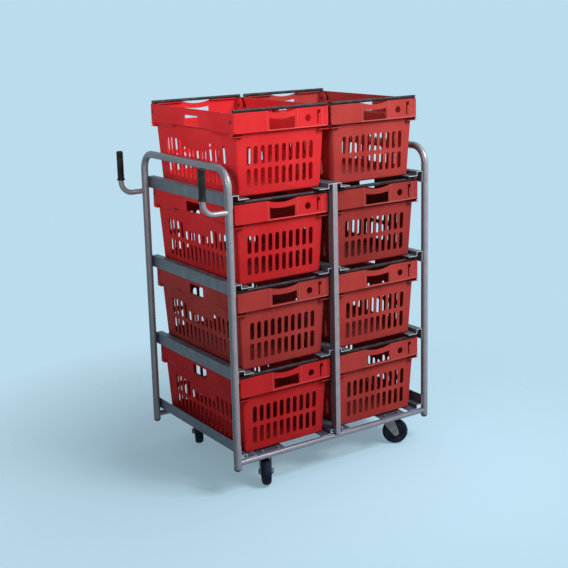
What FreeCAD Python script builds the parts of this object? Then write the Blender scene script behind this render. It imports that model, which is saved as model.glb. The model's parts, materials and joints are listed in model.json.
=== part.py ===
import FreeCAD, Part
import math
import os

# Order picking trolley: a tubular rack on four swivel castors with two bays and four
# tiers, loaded with eight ventilated crates that slide out to the front.
# Millimetres. X runs along the trolley with the push handles at the -X end, Y runs from
# the picking side (front) to the back, Z is up. The origin is on the floor under the
# middle of the rack.

V = FreeCAD.Vector
AXIS_X = V(1, 0, 0)
AXIS_Y = V(0, 1, 0)
AXIS_Z = V(0, 0, 1)

# Crates: a tapered tub with a wider collar round the top
crate_width = 400.0
crate_length = 600.0
crate_height = 290.0
crate_wall = 3.0
crate_corner = 6.0
collar_height = 64.0
end_collar_drop = 5.0
end_step_rise = 1.5
shoulder_height = 22.0
body_top_inset = 15.5
body_bottom_inset = 25.5
bottom_edge_height = 7.0
bottom_edge_inset = 31.5
panel_length = 244.0
panel_rise = 15.0
corner_fin_length = 45.0
corner_fin_thickness = 4.5
corner_fin_drop = 10.5
corner_fin_setback = 1.0
seat_gap = 0.3

# Ventilation slots: two rows in the ends and in the long sides
slot_count = 10
slot_margin = 69.5
slot_width = 17.0
slot_foot = 31.0
slot_row_gap = 13.0
slot_head = 31.0
side_slot_count = 14
side_slot_margin = 98.5
side_tall_count = 4
side_short_height = 37.5

# Hand holds, the dip in each end rim and the holes beside it
hand_hold_width = 106.0
hand_hold_rise = 3.5
hand_hold_height = 38.0
side_hold_width = 98.0
side_hold_rise = 1.5
side_hold_height = 38.0
side_hold_shift = 14.0
rim_dip_width = 124.0
rim_dip_depth = 10.0
rim_flange_width = 16.0
rim_flange_thickness = 3.0
rim_flange_setback = 22.0
peg_hole_d = 25.0
peg_hole_inset = 92.0
peg_hole_drop = 36.0
key_slot_width = 7.0
key_slot_height = 47.0
key_slot_inset = 45.0
key_slot_drop = 11.0
key_head_width = 14.0
key_head_height = 13.0

# Bale arms: one at each end of a crate, hinged in the collar
arm_section = 11.0
arm_bar_inset = 9.0
arm_rest_gap = 0.3
arm_side_inset = 9.5
arm_pivot_inset = 18.0
arm_pivot_drop = 30.0
arm_pin_setback = 0.5
arm_lug_length = 12.0
arm_lug_height = 10.0
arm_lug_width = 14.0
arm_guard_gap = 1.0
arm_guard_wall = 2.5

# Room round the crates in the rack
bay_gap = 24.0
end_gap = 11.0
depth_gap = 7.0
tier_gap = 21.0
step_clearance = 15.5
top_crate_shift = 8.0

# End hoops: one bent tube each, with tapered plugs under the legs
hoop_tube_d = 27.0
hoop_tube_wall = 2.0
hoop_bend_r = 66.0
hoop_rise = 106.0
leg_drop = 19.0
plug_drop = 9.0
plug_tip_d = 17.0
plug_rim = 3.0

# Base tubes between the hoop legs, front and back
base_tube_d = 21.3
base_tube_wall = 2.0

# Tiers and the folded runners that carry the crates
tier_count = 4
sheet = 2.0
ledge_width = 40.0
ledge_step = 15.0
runner_web = 43.0
base_upstand = 40.0
side_runner_overhang = 2.0
centre_runner_overhang = 3.0
notch_clearance = 0.3

# Centre posts
post_width = 20.0
post_depth = 30.0
post_wall = 2.0

# Push handles with rubber grips
handle_tube_d = 20.0
handle_drop = 145.5
handle_reach = 100.5
handle_rise = 161.0
handle_bend_r = 44.0
grip_d = 25.0
grip_length = 110.0
grip_collar_d = 30.0
grip_collar_length = 6.0
grip_cap = 5.0

# Castors: swivel plate, fork, axle bolt, wheel centre and tyre
castor_inset_x = 151.5
castor_inset_y = 61.0
castor_headroom = 27.0
castor_trail = 40.0
castor_angle_deg = {"front_left": 244.0, "front_right": -33.5, "rear_left": 243.0, "rear_right": 200.0}
mount_plate_width = 116.0
mount_plate_thickness = 4.0
mount_plate_rise = 4.0
swivel_plate_length = 100.0
swivel_plate_width = 85.0
swivel_plate_thickness = 3.0
kingpin_d = 16.0
kingpin_nut_af = 24.0
kingpin_nut_height = 5.0
swivel_gap = 0.3
running_clearance = 0.05
crown_length = 60.0
crown_thickness = 5.0
fork_inside_width = 38.0
fork_leg_thickness = 3.0
fork_eye_r = 13.0
axle_d = 10.0
axle_head_af = 17.0
axle_head_height = 6.0
wheel_d = 100.0
wheel_centre_d = 74.0
wheel_rim_width = 26.0
wheel_rim_depth = 6.0
wheel_web = 12.0
wheel_hub_d = 26.0
wheel_hub_width = 37.0
tyre_width = 32.0
tyre_shoulder = 2.0

# Places worked out from the sizes above, first on a crate
collar_bottom = crate_height - collar_height
body_top = collar_bottom - shoulder_height
end_collar_bottom = collar_bottom - end_collar_drop
body_lean = (body_bottom_inset - body_top_inset) / (body_top - bottom_edge_height)
slot_height = (body_top - slot_foot - slot_row_gap - slot_head) / 2
slot_rows = (slot_foot, slot_foot + slot_height + slot_row_gap)
slot_pitch = (crate_width - 2 * slot_margin) / (slot_count - 1)
side_slot_pitch = (crate_length - 2 * side_slot_margin) / (side_slot_count - 1)
arm_corner_r = arm_section / 2 / math.cos(math.pi / 8)
arm_half_span = crate_width / 2 - arm_side_inset
arm_pin_end = crate_width / 2 - arm_pin_setback
arm_pivot_y = crate_length / 2 - arm_pivot_inset
arm_pivot_z = crate_height - arm_pivot_drop
arm_bar_y = crate_length / 2 - arm_bar_inset
arm_bar_z = crate_height + arm_rest_gap + arm_corner_r
arm_reach = math.hypot(arm_bar_y - arm_pivot_y, arm_bar_z - arm_pivot_z)

# Places in the rack, from the castors upwards
castor_height = wheel_d + castor_headroom
axle_height = wheel_d / 2
base_tube_height = castor_height - mount_plate_rise
leg_end_height = base_tube_height - leg_drop
first_seat = base_tube_height + base_tube_d / 2 + sheet
tier_pitch = crate_height + tier_gap
seats = [first_seat + tier * tier_pitch for tier in range(tier_count)]
hoop_top = seats[-1] + hoop_rise
handle_height = hoop_top - handle_drop
grip_top = handle_height + handle_rise
bay_x = (crate_width + bay_gap) / 2
rail_x = bay_x + crate_width / 2 + end_gap
hoop_x = rail_x + hoop_tube_d / 2
post_y = crate_length / 2 + depth_gap
post_front_y = post_y + post_depth / 2
runner_clear_width = crate_width - 2 * bottom_edge_inset + 2 * step_clearance
step_x = bay_x + runner_clear_width / 2
centre_step_x = bay_x - runner_clear_width / 2
side_runner_length = 2 * (post_y + side_runner_overhang)
centre_runner_length = 2 * (post_y + centre_runner_overhang)
castor_x = hoop_x - castor_inset_x
castor_y = post_y - castor_inset_y


def box(x0, x1, y0, y1, z0, z1):
    """A box between two corners."""
    return Part.makeBox(x1 - x0, y1 - y0, z1 - z0, V(x0, y0, z0))


def rod(diameter, start, end):
    """A solid round bar from start to end."""
    along = end - start
    return Part.makeCylinder(diameter / 2, along.Length, start, along)


def ring_face(diameter, wall, centre, normal):
    """A flat ring for sweeping a tube, or a disc when the wall is zero."""
    outer = Part.Wire(Part.makeCircle(diameter / 2, centre, normal))
    if wall == 0:
        return Part.Face(outer)
    inner = Part.Wire(Part.makeCircle(diameter / 2 - wall, centre, normal))
    return Part.Face([outer, inner])


def bent_path(points, bend_r):
    """A path of straight runs through the points, with an arc of bend_r at each inner point."""
    edges = []
    last = points[0]
    for before, corner, after in zip(points, points[1:], points[2:]):
        inward = (before - corner).normalize()
        outward = (after - corner).normalize()
        start = corner + inward * bend_r
        finish = corner + outward * bend_r
        centre = start + outward * bend_r
        middle = centre + (corner - centre).normalize() * bend_r
        edges.append(Part.makeLine(last, start))
        edges.append(Part.Arc(start, middle, finish).toShape())
        last = finish
    edges.append(Part.makeLine(last, points[-1]))
    return Part.Wire(edges)


def bent_tube(points, bend_r, diameter, wall):
    """A tube swept along a path of straight runs and square bends."""
    start_direction = points[1] - points[0]
    return bent_path(points, bend_r).makePipe(ring_face(diameter, wall, points[0], start_direction))


def extrude_along_y(outline, length):
    """An X-Z outline drawn out along Y, centred on Y = 0."""
    corners = [V(x, -length / 2, z) for x, z in outline]
    face = Part.Face(Part.makePolygon(corners + corners[:1]))
    return face.extrude(V(0, length, 0))


def revolve_profile(profile, centre, axis, across):
    """A turned body from (radius, height) pairs, about axis through centre."""
    corners = [centre + across * r + axis * h for r, h in profile]
    face = Part.Face(Part.makePolygon(corners + corners[:1]))
    return face.revolve(centre, axis, 360)


def mirror_x(shape):
    """The same shape on the other side of the middle plane."""
    return shape.mirror(V(0, 0, 0), AXIS_X)


# The rack

def hoop(side):
    """One end hoop: up the front leg, over the top and down the back leg."""
    x = side * hoop_x
    corners = [
        V(x, -post_y, leg_end_height),
        V(x, -post_y, hoop_top),
        V(x, post_y, hoop_top),
        V(x, post_y, leg_end_height),
    ]
    return bent_tube(corners, hoop_bend_r, hoop_tube_d, hoop_tube_wall)


def foot_plugs():
    """A tapered plug in the end of each hoop leg."""
    profile = [
        (0, 0),
        (hoop_tube_d / 2, 0),
        (hoop_tube_d / 2, -plug_rim),
        (plug_tip_d / 2, -plug_drop),
        (0, -plug_drop),
    ]
    plugs = []
    for x in (-hoop_x, hoop_x):
        for y in (-post_y, post_y):
            plugs.append(revolve_profile(profile, V(x, y, leg_end_height), AXIS_Z, AXIS_X))
    return Part.makeCompound(plugs)


def cope(tube, x, y):
    """Trim a tube to sit against the round hoop leg at x, y."""
    leg = Part.makeCylinder(hoop_tube_d / 2, hoop_top, V(x, y, 0), AXIS_Z)
    return tube.cut(leg)


def base_tube(y):
    """The tube that ties the two hoops together low down."""
    start = V(-hoop_x, y, base_tube_height)
    end = V(hoop_x, y, base_tube_height)
    tube = rod(base_tube_d, start, end).cut(rod(base_tube_d - 2 * base_tube_wall, start, end))
    for x in (-hoop_x, hoop_x):
        tube = cope(tube, x, y)
    return tube


def centre_post(side):
    """A box-section upright on the base tube, capped by the top centre runner."""
    bottom = base_tube_height + base_tube_d / 2
    top = seats[-1] + ledge_step - sheet
    y = side * post_y
    half_w = post_width / 2
    half_d = post_depth / 2
    outer = box(-half_w, half_w, y - half_d, y + half_d, bottom, top)
    inner = box(
        -half_w + post_wall, half_w - post_wall,
        y - half_d + post_wall, y + half_d - post_wall, bottom, top,
    )
    return outer.cut(inner)


def side_runner(seat):
    """A folded runner along the right end: ledge, step, top flange and a web hanging down."""
    top = seat + ledge_step
    outline = [
        (rail_x, top - runner_web),
        (rail_x, top),
        (step_x, top),
        (step_x, seat),
        (step_x - ledge_width, seat),
        (step_x - ledge_width, seat - sheet),
        (step_x + sheet, seat - sheet),
        (step_x + sheet, top - sheet),
        (rail_x - sheet, top - sheet),
        (rail_x - sheet, top - runner_web),
    ]
    return extrude_along_y(outline, side_runner_length)


def base_side_runner(seat):
    """The lowest runner, whose web stands up as a guard rail and whose ledge lies on the base tubes."""
    top = seat + ledge_step
    guard_top = top - sheet + base_upstand
    outline = [
        (step_x - ledge_width, seat),
        (step_x, seat),
        (step_x, top),
        (rail_x - sheet, top),
        (rail_x - sheet, guard_top),
        (rail_x, guard_top),
        (rail_x, top - sheet),
        (step_x + sheet, top - sheet),
        (step_x + sheet, seat - sheet),
        (step_x - ledge_width, seat - sheet),
    ]
    return extrude_along_y(outline, side_runner_length)


def centre_runner(seat, length):
    """A folded hat between the bays: a ledge each side of a raised middle."""
    top = seat + ledge_step
    half = [
        (centre_step_x + ledge_width, seat - sheet),
        (centre_step_x + ledge_width, seat),
        (centre_step_x, seat),
        (centre_step_x, top),
    ]
    under = [(centre_step_x - sheet, top - sheet), (centre_step_x - sheet, seat - sheet)]
    outline = half + [(-x, z) for x, z in reversed(half)]
    outline += [(-x, z) for x, z in reversed(under)] + under
    return extrude_along_y(outline, length)


def notched_for_posts(runner):
    """Open the ends of a centre runner round the two centre posts."""
    half_w = post_width / 2 + notch_clearance
    inner_y = post_y - post_depth / 2 - notch_clearance
    outer_y = post_front_y + centre_runner_overhang
    for y0, y1 in ((-outer_y, -inner_y), (inner_y, outer_y)):
        runner = runner.cut(box(-half_w, half_w, y0, y1, 0, hoop_top))
    return runner


def side_runners():
    """All runners of the right end."""
    return [base_side_runner(seats[0])] + [side_runner(seat) for seat in seats[1:]]


def centre_runners():
    """All runners between the bays: three notched round the posts and one over their tops."""
    runners = [notched_for_posts(centre_runner(seat, centre_runner_length)) for seat in seats[:-1]]
    runners.append(centre_runner(seats[-1], 2 * post_front_y))
    return runners


# Push handles

def handle(y):
    """A bent tube that leaves a hoop leg outwards and turns up to the grip."""
    x_grip = -hoop_x - handle_reach
    corners = [V(-hoop_x, y, handle_height), V(x_grip, y, handle_height), V(x_grip, y, grip_top - grip_cap)]
    return cope(bent_tube(corners, handle_bend_r, handle_tube_d, 0), -hoop_x, y)


def grip(y):
    """A rubber sleeve with a collar below and a closed top."""
    profile = [
        (handle_tube_d / 2, -grip_length),
        (grip_collar_d / 2, -grip_length),
        (grip_collar_d / 2, -grip_length + grip_collar_length),
        (grip_d / 2, -grip_length + grip_collar_length),
        (grip_d / 2, -grip_cap),
        (grip_d / 2 - grip_cap, 0),
        (0, 0),
        (0, -grip_cap),
        (handle_tube_d / 2, -grip_cap),
    ]
    return revolve_profile(profile, V(-hoop_x - handle_reach, y, grip_top), AXIS_Z, AXIS_X)


# Castors, each modelled about its swivel axis with the wheel trailing along +X

def castor_place(name):
    """Where a castor stands and which way its wheel trails."""
    x = -castor_x if name.endswith("left") else castor_x
    y = -castor_y if name.startswith("front") else castor_y
    turn = FreeCAD.Rotation(AXIS_Z, castor_angle_deg[name])
    return FreeCAD.Placement(V(x, y, 0), turn)


def placed(shape, placement):
    """A copy of a shape moved to its place."""
    copy = shape.copy()
    copy.Placement = placement.multiply(copy.Placement)
    return copy


def castor_mount_plates():
    """The two cross plates between the base tubes that the castors are fixed under."""
    low = castor_height
    reach = math.sqrt((base_tube_d / 2) ** 2 - mount_plate_rise ** 2)
    end_y = post_y - reach
    plates = []
    for x in (-castor_x, castor_x):
        half = mount_plate_width / 2
        plates.append(box(x - half, x + half, -end_y, end_y, low, low + mount_plate_thickness))
    return Part.makeCompound(plates)


def hexagon_prism(across_flats, start, along):
    """A bolt head or nut from start in the direction of along, with two corners along X."""
    radius = across_flats / math.sqrt(3)
    sideways = along.cross(AXIS_X).normalize()
    corners = []
    for k in range(6):
        angle = math.radians(60 * k)
        corners.append(start + AXIS_X * (radius * math.cos(angle)) + sideways * (radius * math.sin(angle)))
    return Part.Face(Part.makePolygon(corners + corners[:1])).extrude(along)


def swivel_plate(name):
    """Top plate of a castor with its kingpin and nut, square to the rack."""
    centre = castor_place(name).Base
    under = castor_height - swivel_plate_thickness
    half_l = swivel_plate_length / 2
    half_w = swivel_plate_width / 2
    plate = box(
        centre.x - half_w, centre.x + half_w,
        centre.y - half_l, centre.y + half_l, under, castor_height,
    )
    nut_top = under - crown_thickness - 2 * swivel_gap
    pin_end = nut_top - kingpin_nut_height
    pin = rod(kingpin_d, V(centre.x, centre.y, pin_end), V(centre.x, centre.y, under))
    nut = hexagon_prism(kingpin_nut_af, V(centre.x, centre.y, pin_end), V(0, 0, kingpin_nut_height))
    return plate.fuse([pin, nut]).removeSplitter()


def fork_leg_face(y):
    """Tapered fork cheek, broad at the crown and rounded about the axle."""
    top = castor_height - swivel_plate_thickness - swivel_gap
    half = crown_length / 2
    eye = V(castor_trail, y, axle_height)
    front = eye + V(fork_eye_r, 0, 0)
    low = eye + V(0, 0, -fork_eye_r)
    back = eye + V(-fork_eye_r * 0.8, 0, -fork_eye_r * 0.6)
    corner_a = V(-half, y, top)
    corner_b = V(half, y, top)
    shoulder_a = V(-half, y, top - crown_thickness)
    shoulder_b = V(half, y, top - crown_thickness)
    edges = [
        Part.makeLine(shoulder_a, corner_a),
        Part.makeLine(corner_a, corner_b),
        Part.makeLine(corner_b, shoulder_b),
        Part.makeLine(shoulder_b, front),
        Part.Arc(front, low, back).toShape(),
        Part.makeLine(back, shoulder_a),
    ]
    return Part.Face(Part.Wire(edges))


def castor_fork():
    """Pressed fork: a crown with the kingpin bore and two cheeks down to the axle."""
    top = castor_height - swivel_plate_thickness - swivel_gap
    half = crown_length / 2
    half_in = fork_inside_width / 2
    fork = box(-half, half, -half_in, half_in, top - crown_thickness, top)
    for y in (-half_in - fork_leg_thickness, half_in):
        fork = fork.fuse(fork_leg_face(y).extrude(V(0, fork_leg_thickness, 0)))
    bore = rod(kingpin_d + 2 * running_clearance, V(0, 0, 0), V(0, 0, castor_height))
    outside = half_in + fork_leg_thickness
    axle_hole = rod(axle_d, V(castor_trail, -outside, axle_height), V(castor_trail, outside, axle_height))
    return fork.cut(bore).cut(axle_hole).removeSplitter()


def castor_axle():
    """Axle bolt through both cheeks, with its head and nut outside them."""
    outside = fork_inside_width / 2 + fork_leg_thickness
    start = V(castor_trail, -outside, axle_height)
    end = V(castor_trail, outside, axle_height)
    head = hexagon_prism(axle_head_af, start, V(0, -axle_head_height, 0))
    nut = hexagon_prism(axle_head_af, end, V(0, axle_head_height, 0))
    return rod(axle_d, start, end).fuse([head, nut])


def wheel_centre():
    """Wheel centre: a hub that runs on the axle, a flat web and a rim."""
    bore = axle_d / 2 + running_clearance
    rim_inside = wheel_centre_d / 2 - wheel_rim_depth
    half = [
        (bore, wheel_hub_width / 2),
        (wheel_hub_d / 2, wheel_hub_width / 2),
        (wheel_hub_d / 2, wheel_web / 2),
        (rim_inside, wheel_web / 2),
        (rim_inside, wheel_rim_width / 2),
        (wheel_centre_d / 2, wheel_rim_width / 2),
    ]
    profile = half + [(r, -y) for r, y in reversed(half)]
    return revolve_profile(profile, V(castor_trail, 0, axle_height), AXIS_Y, AXIS_X)


def tyre():
    """Tyre with a flat tread and sloping shoulders, bonded on the wheel centre."""
    half = [
        (wheel_centre_d / 2, tyre_width / 2),
        (wheel_d / 2 - tyre_shoulder, tyre_width / 2),
        (wheel_d / 2, tyre_width / 2 - tyre_shoulder),
    ]
    profile = half + [(r, -y) for r, y in reversed(half)]
    return revolve_profile(profile, V(castor_trail, 0, axle_height), AXIS_Y, AXIS_X)


# Crates

def crate_outline(side_inset, end_inset, z):
    """Corners of the crate's outline at one height, with small corner flats."""
    x = crate_width / 2 - side_inset
    y = crate_length / 2 - end_inset
    c = crate_corner
    return [
        V(x, y - c, z), V(x - c, y, z), V(c - x, y, z), V(-x, y - c, z),
        V(-x, c - y, z), V(c - x, -y, z), V(x - c, -y, z), V(x, c - y, z),
    ]


def stacked(outlines):
    """A solid with flat sides through a stack of outlines, from the lowest to the highest."""
    faces = []
    for lower, upper in zip(outlines, outlines[1:]):
        for k in range(len(lower)):
            n = (k + 1) % len(lower)
            faces.append(Part.Face(Part.makePolygon([lower[k], lower[n], upper[n], upper[k], lower[k]])))
    for end in (outlines[0], outlines[-1]):
        faces.append(Part.Face(Part.makePolygon(end + end[:1])))
    return Part.Solid(Part.makeShell(faces))


def plain_panels(wall):
    """Cutters that carry the flat of both long sides up into the shoulder, offset inwards by the wall."""
    low = V(crate_width / 2 - body_top_inset - wall, 0, body_top + wall)
    high = low + V(panel_rise * body_lean, 0, panel_rise)
    edge = V(crate_width / 2 - wall, 0, collar_bottom + wall)
    outline = [low, high, edge, V(edge.x, 0, low.z)]
    cutter = extrude_along_y([(p.x, p.z) for p in outline], panel_length + 2 * wall)
    return [cutter, mirror_x(cutter)]


def crate_shell():
    """The tub: the long sides flare out to the collar, and the ends step out to it under a short shelf."""
    flare = body_top_inset / shoulder_height
    step_low = end_collar_bottom - end_step_rise
    levels = [
        (bottom_edge_inset, bottom_edge_inset, 0),
        (body_bottom_inset, body_bottom_inset, bottom_edge_height),
        (body_top_inset, body_top_inset, body_top),
        (flare * (end_collar_drop + end_step_rise), body_top_inset - body_lean * (step_low - body_top), step_low),
        (flare * end_collar_drop, 0, end_collar_bottom),
        (0, 0, collar_bottom),
        (0, 0, crate_height),
    ]
    outer = stacked([crate_outline(*level) for level in levels])
    inside = [(u + crate_wall, v + crate_wall, z + crate_wall) for u, v, z in levels]
    hollow = stacked([crate_outline(*level) for level in inside])
    return outer.cut(plain_panels(0)).cut(hollow.cut(plain_panels(crate_wall)))


def corner_fins():
    """A fin below each corner of the collar on the ends, closed to the long side by an upright web."""
    top = end_collar_bottom
    fin_top = top - corner_fin_drop
    low = fin_top - corner_fin_thickness
    far_x = crate_width / 2 - corner_fin_setback
    near_x = crate_width / 2 - corner_fin_length
    root_y = crate_length / 2 - body_top_inset - crate_wall / 2
    tip_y = crate_length / 2 - corner_fin_setback
    fins = []
    for side in (-1, 1):
        for end in (-1, 1):
            y0, y1 = sorted((end * root_y, end * tip_y))
            x0, x1 = sorted((side * near_x, side * far_x))
            fins.append(box(x0, x1, y0, y1, low, fin_top))
            x0, x1 = sorted((side * (far_x - crate_wall), side * far_x))
            fins.append(box(x0, x1, y0, y1, low, top))
    return fins


def rim_flanges():
    """Short flanges along the end rims, on which the bale arms lie."""
    flanges = []
    end = crate_width / 2 - rim_flange_setback
    for x0, x1 in ((-end, -rim_dip_width / 2), (rim_dip_width / 2, end)):
        for y in (-crate_length / 2, crate_length / 2 - rim_flange_width):
            low = crate_height - rim_flange_thickness
            flanges.append(box(x0, x1, y, y + rim_flange_width, low, crate_height))
    return flanges


def arm_lugs():
    """Lugs inside the collar that carry the bale arms when they are swung inwards."""
    top = arm_pivot_z - arm_section / 2 - arm_rest_gap
    in_wall = (crate_width - crate_wall) / 2
    inside = crate_width / 2 - crate_wall - arm_lug_width
    inner_y = arm_pivot_y - arm_section - 2 * arm_lug_length
    lugs = []
    for x0, x1 in ((-in_wall, -inside), (inside, in_wall)):
        for y0 in (-inner_y - arm_lug_length, inner_y):
            lugs.append(box(x0, x1, y0, y0 + arm_lug_length, top - arm_lug_height, top))
    return lugs


def arm_guards():
    """Rounded plates that hide the arms' legs in the collar's corners and let the bars swing past."""
    outer_x = arm_half_span - arm_corner_r - arm_guard_gap
    inner_x = outer_x - arm_guard_wall
    radius = arm_reach - arm_corner_r - arm_guard_gap
    low = end_collar_bottom + crate_wall / 2
    top = crate_height - rim_flange_thickness
    in_wall = (crate_length - crate_wall) / 2
    guards = []
    for end in (-1, 1):
        disc = Part.makeCylinder(radius, arm_guard_wall, V(inner_x, end * arm_pivot_y, arm_pivot_z), AXIS_X)
        y0, y1 = sorted((end * arm_pivot_y, end * in_wall))
        guard = disc.fuse(box(inner_x, outer_x, y0, y1, low, top))
        guard = guard.common(box(inner_x, outer_x, -in_wall, in_wall, low, top))
        guards += [guard, mirror_x(guard)]
    return guards


def end_openings():
    """Everything cut through both crate ends at once: slots, hand holds and the rim dips."""
    reach = crate_length
    cuts = []
    for row in slot_rows:
        for k in range(slot_count):
            x = (k - (slot_count - 1) / 2) * slot_pitch
            cuts.append(box(x - slot_width / 2, x + slot_width / 2, -reach, reach, row, row + slot_height))
    half = hand_hold_width / 2
    low = end_collar_bottom + hand_hold_rise
    cuts.append(box(-half, half, -reach, reach, low, low + hand_hold_height))
    radius = ((rim_dip_width / 2) ** 2 + rim_dip_depth ** 2) / (2 * rim_dip_depth)
    dip_centre = V(0, -reach, crate_height - rim_dip_depth + radius)
    cuts.append(Part.makeCylinder(radius, 2 * reach, dip_centre, AXIS_Y))
    return cuts


def side_openings():
    """Everything cut through both long sides at once: slots, hand holds and the bale arm windows."""
    reach = crate_width
    cuts = []
    lower, upper = slot_rows
    for k in range(side_slot_count):
        y = (k - (side_slot_count - 1) / 2) * side_slot_pitch
        tall = min(k, side_slot_count - 1 - k) < side_tall_count
        upper_height = slot_height if tall else side_short_height
        for low, height in ((lower, slot_height), (upper, upper_height)):
            cuts.append(box(-reach, reach, y - slot_width / 2, y + slot_width / 2, low, low + height))
    half = side_hold_width / 2
    low = collar_bottom + side_hold_rise
    for x, y in ((-reach, -side_hold_shift), (0, side_hold_shift)):
        cuts.append(box(x, x + reach, y - half, y + half, low, low + side_hold_height))
    half = arm_corner_r + running_clearance
    for y in (-arm_pivot_y, arm_pivot_y):
        cuts.append(box(-reach, reach, y - half, y + half, arm_pivot_z - half, arm_pivot_z + half))
    return cuts


def corner_holes():
    """The round hole and the key-shaped slot to the right of each hand hold, seen from outside."""
    depth = crate_length / 4
    front = -crate_length / 2 - crate_wall
    hole_x = crate_width / 2 - peg_hole_inset
    hole_z = crate_height - peg_hole_drop
    key_x = crate_width / 2 - key_slot_inset
    key_top = crate_height - key_slot_drop
    hole = Part.makeCylinder(peg_hole_d / 2, depth, V(hole_x, front, hole_z), AXIS_Y)
    stem = box(key_x - key_slot_width, key_x, front, front + depth, key_top - key_slot_height, key_top)
    head_end = key_x - key_slot_width + key_head_width
    head = box(key_x - key_slot_width, head_end, front, front + depth, key_top - key_head_height, key_top)
    holes = [hole, stem.fuse(head)]
    turned = [shape.copy() for shape in holes]
    for shape in turned:
        shape.rotate(V(0, 0, 0), AXIS_Z, 180)
    return holes + turned


def crate():
    """One crate, standing on Z = 0."""
    tub = crate_shell().fuse(rim_flanges() + arm_lugs() + arm_guards() + corner_fins()).removeSplitter()
    return tub.cut(end_openings() + side_openings() + corner_holes())


def bale_arm(end):
    """A moulded arm of eight-sided section: a bar along the rim and two legs with turned-out ends."""
    pivot_y = end * arm_pivot_y
    bar_y = end * arm_bar_y
    route = [
        V(-arm_pin_end, pivot_y, arm_pivot_z),
        V(-arm_half_span, pivot_y, arm_pivot_z),
        V(-arm_half_span, bar_y, arm_bar_z),
        V(arm_half_span, bar_y, arm_bar_z),
        V(arm_half_span, pivot_y, arm_pivot_z),
        V(arm_pin_end, pivot_y, arm_pivot_z),
    ]
    lean = math.atan2(bar_y - pivot_y, arm_bar_z - arm_pivot_z)
    corners = []
    for k in range(8):
        angle = math.pi / 8 + k * math.pi / 4 - lean
        corners.append(route[0] + V(0, arm_corner_r * math.cos(angle), arm_corner_r * math.sin(angle)))
    section = Part.makePolygon(corners + corners[:1])
    return Part.makePolygon(route).makePipeShell([section], True, False, 1)


# Write every piece

def write(name, shape):
    """Save one piece under its own name."""
    shape.exportStep("parts/" + name + ".step")


def write_rack():
    write("left_hoop", hoop(-1))
    write("right_hoop", hoop(1))
    write("foot_plugs", foot_plugs())
    write("base_tube_front", base_tube(-post_y))
    write("base_tube_rear", base_tube(post_y))
    write("centre_post_front", centre_post(-1))
    write("centre_post_rear", centre_post(1))
    right = side_runners()
    write("right_runners", Part.makeCompound(right))
    write("left_runners", Part.makeCompound([mirror_x(runner) for runner in right]))
    write("centre_runners", Part.makeCompound(centre_runners()))
    for name, y in (("front", -post_y), ("rear", post_y)):
        write("handle_" + name, handle(y))
        write("grip_" + name, grip(y))


def write_castors():
    write("castor_mount_plates", castor_mount_plates())
    write("castor_swivel_plates", Part.makeCompound([swivel_plate(name) for name in castor_angle_deg]))
    pieces = (
        ("castor_fork_", castor_fork()),
        ("castor_axle_", castor_axle()),
        ("castor_wheel_", wheel_centre()),
        ("castor_tyre_", tyre()),
    )
    for name in castor_angle_deg:
        for prefix, shape in pieces:
            write(prefix + name, placed(shape, castor_place(name)))


def write_crates():
    tub = crate()
    arms = (("bale_arm_front_", bale_arm(-1)), ("bale_arm_rear_", bale_arm(1)))
    for tier, seat in enumerate(seats, start=1):
        inward = top_crate_shift if tier == tier_count else 0
        for side, x in (("left", inward - bay_x), ("right", bay_x - inward)):
            place = FreeCAD.Placement(V(x, 0, seat + seat_gap), FreeCAD.Rotation())
            label = side + "_" + str(tier)
            write("crate_" + label, placed(tub, place))
            for prefix, arm in arms:
                write(prefix + label, placed(arm, place))


os.makedirs("parts", exist_ok=True)
write_rack()
write_castors()
write_crates()
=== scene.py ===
import json
import math

import bmesh
import bpy
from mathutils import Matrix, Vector


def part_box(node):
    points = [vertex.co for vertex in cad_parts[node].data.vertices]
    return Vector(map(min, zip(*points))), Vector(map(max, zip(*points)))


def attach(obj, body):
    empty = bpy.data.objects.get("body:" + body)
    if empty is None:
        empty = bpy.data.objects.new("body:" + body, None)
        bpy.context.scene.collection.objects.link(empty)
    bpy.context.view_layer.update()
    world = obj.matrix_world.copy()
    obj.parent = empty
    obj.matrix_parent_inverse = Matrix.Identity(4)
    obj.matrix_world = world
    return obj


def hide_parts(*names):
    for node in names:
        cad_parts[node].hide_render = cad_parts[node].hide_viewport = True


# Order picking trolley with eight ventilated crates: the looks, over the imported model.
# Metres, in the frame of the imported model; sizes written in millimetres are multiplied by MM.

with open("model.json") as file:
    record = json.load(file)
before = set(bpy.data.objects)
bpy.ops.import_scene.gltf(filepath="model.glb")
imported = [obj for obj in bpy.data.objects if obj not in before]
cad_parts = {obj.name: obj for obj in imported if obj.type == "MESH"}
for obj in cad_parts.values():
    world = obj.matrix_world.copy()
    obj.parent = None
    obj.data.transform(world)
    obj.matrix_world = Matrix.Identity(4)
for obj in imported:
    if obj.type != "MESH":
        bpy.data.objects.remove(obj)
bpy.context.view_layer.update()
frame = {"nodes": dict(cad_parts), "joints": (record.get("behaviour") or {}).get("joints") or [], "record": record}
nodes = frame["nodes"]
scene = bpy.context.scene

MM = 0.001

# Signs of X and Y in the four corners of a rectangle
CORNERS = ((-1, -1), (-1, 1), (1, -1), (1, 1))


# Mesh helpers

def mesh_object(name, bm):
    """Make an object in the scene from mesh data."""
    bmesh.ops.recalc_face_normals(bm, faces=bm.faces)
    mesh = bpy.data.meshes.new(name)
    bm.to_mesh(mesh)
    bm.free()
    obj = bpy.data.objects.new(name, mesh)
    scene.collection.objects.link(obj)
    return obj


def join_loops(bm, lower, upper):
    """Faces between two closed loops of vertices with the same count."""
    count = len(lower)
    for k in range(count):
        following = (k + 1) % count
        bm.faces.new((lower[k], lower[following], upper[following], upper[k]))


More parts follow.
